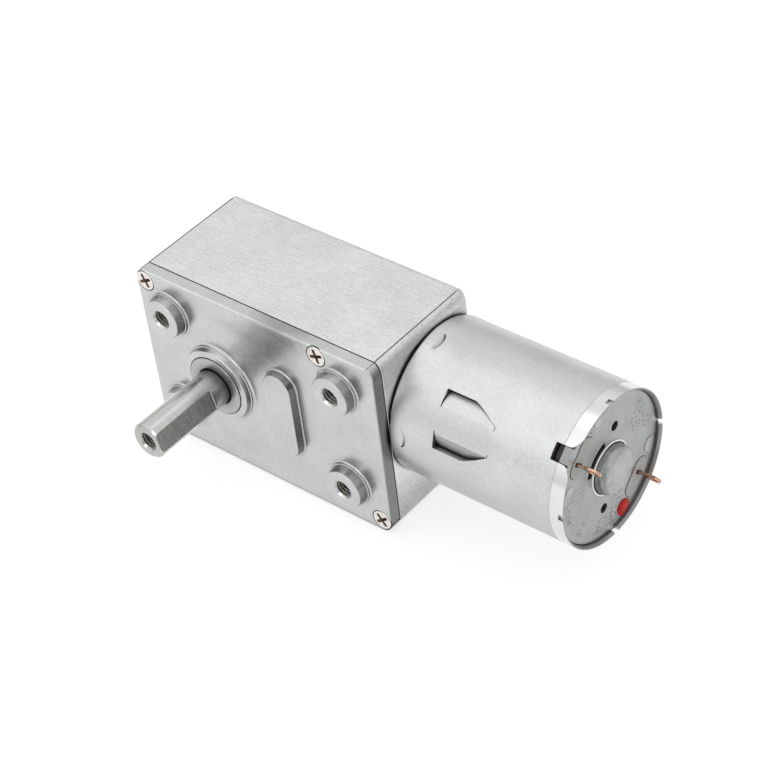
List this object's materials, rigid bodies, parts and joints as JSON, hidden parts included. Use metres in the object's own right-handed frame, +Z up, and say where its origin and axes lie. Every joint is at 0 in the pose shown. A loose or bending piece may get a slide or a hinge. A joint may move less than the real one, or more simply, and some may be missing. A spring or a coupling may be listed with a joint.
{
  "type": "right-angle geared dc motor",
  "caption": "Right-angle worm gearmotor: rectangular die-cast gearbox with a D-cut output shaft, threaded mounting bosses and a round brushed dc motor with solder terminals.",
  "frame": {"origin": "on the gearbox underside, straight below the output shaft's axis and in the plane of the motor's axis", "axes": "+X along the motor towards its tail, -Y out along the output shaft, +Z up from the underside"},
  "size_m": [0.0799, 0.0424, 0.0315],
  "materials": {
    "cast_housing": "brushed satin zinc casting",
    "cast_cover": "satin zinc casting",
    "screw_nickel": "nickel plated",
    "sintered_bush": "sintered, satin",
    "ground_steel": "ground and machined",
    "gear_steel": "sintered steel",
    "gear_brass": "hobbed brass",
    "plated_can": "bright satin zinc plate",
    "end_plate_steel": "stippled satin zinc plate",
    "ferrite": "matte ferrite",
    "lamination": "stacked sheet",
    "copper": "bright copper",
    "carbon": "pressed carbon",
    "holder_plastic": "unfilled nylon",
    "washer_plastic": "hard fibre",
    "red_dot": "wet-look marking paint"
  },
  "bodies": {
    "gearbox_and_motor": {"gear_housing": "cast_housing", "gear_cover": "cast_cover", "cover_screw_1": "screw_nickel", "cover_screw_2": "screw_nickel", "cover_screw_3": "screw_nickel", "cover_screw_4": "screw_nickel", "motor_screw_upper": "screw_nickel", "motor_screw_lower": "screw_nickel", "output_bush_front": "sintered_bush", "output_bush_rear": "sintered_bush", "motor_bearing_front": "sintered_bush", "motor_bearing_rear": "sintered_bush", "wheel_spacer": "sintered_bush", "idler_spacer": "sintered_bush", "wheel_pin": "ground_steel", "idler_pin": "ground_steel", "idler_washer": "ground_steel", "motor_can": "plated_can", "end_plate": "end_plate_steel", "magnet_upper": "ferrite", "magnet_lower": "ferrite", "terminal_front": "copper", "terminal_rear": "copper", "brush_arm_front": "copper", "brush_arm_rear": "copper", "brush_front": "carbon", "brush_rear": "carbon", "brush_holder": "holder_plastic", "polarity_dot": "red_dot"},
    "armature": {"motor_shaft": "ground_steel", "worm": "gear_brass", "armature_core": "lamination", "armature_coil_1": "copper", "armature_coil_2": "copper", "armature_coil_3": "copper", "commutator": "copper", "shaft_washer_front": "washer_plastic", "shaft_washer_rear": "washer_plastic"},
    "wheel": {"worm_wheel": "gear_brass", "wheel_pinion": "gear_steel"},
    "idler": {"idler_gear": "gear_steel", "idler_pinion": "gear_steel"},
    "output": {"output_shaft": "ground_steel", "output_gear": "gear_steel", "output_washer": "ground_steel", "output_spacer": "ground_steel"}
  },
  "joints": [
    {"name": "armature_spin", "type": "hinge", "parent": "gearbox_and_motor", "child": "armature", "pos_m": [0.02, 0, 0.01785], "axis": [1, 0, 0], "continuous": true},
    {"name": "wheel_spin", "type": "hinge", "parent": "gearbox_and_motor", "child": "wheel", "pos_m": [0.02, 0, 0.01085], "axis": [0, 1, 0], "continuous": true},
    {"name": "idler_spin", "type": "hinge", "parent": "gearbox_and_motor", "child": "idler", "pos_m": [0.01197, 0, 0.01492], "axis": [0, 1, 0], "continuous": true},
    {"name": "output_spin", "type": "hinge", "parent": "gearbox_and_motor", "child": "output", "pos_m": [0, 0, 0.0157], "axis": [0, 1, 0], "continuous": true}
  ],
  "couplings": [
    {"joint": "wheel_spin", "follows": "armature_spin", "ratio": -0.05},
    {"joint": "idler_spin", "follows": "armature_spin", "ratio": 0.019231},
    {"joint": "output_spin", "follows": "armature_spin", "ratio": -0.0064103}
  ]
}
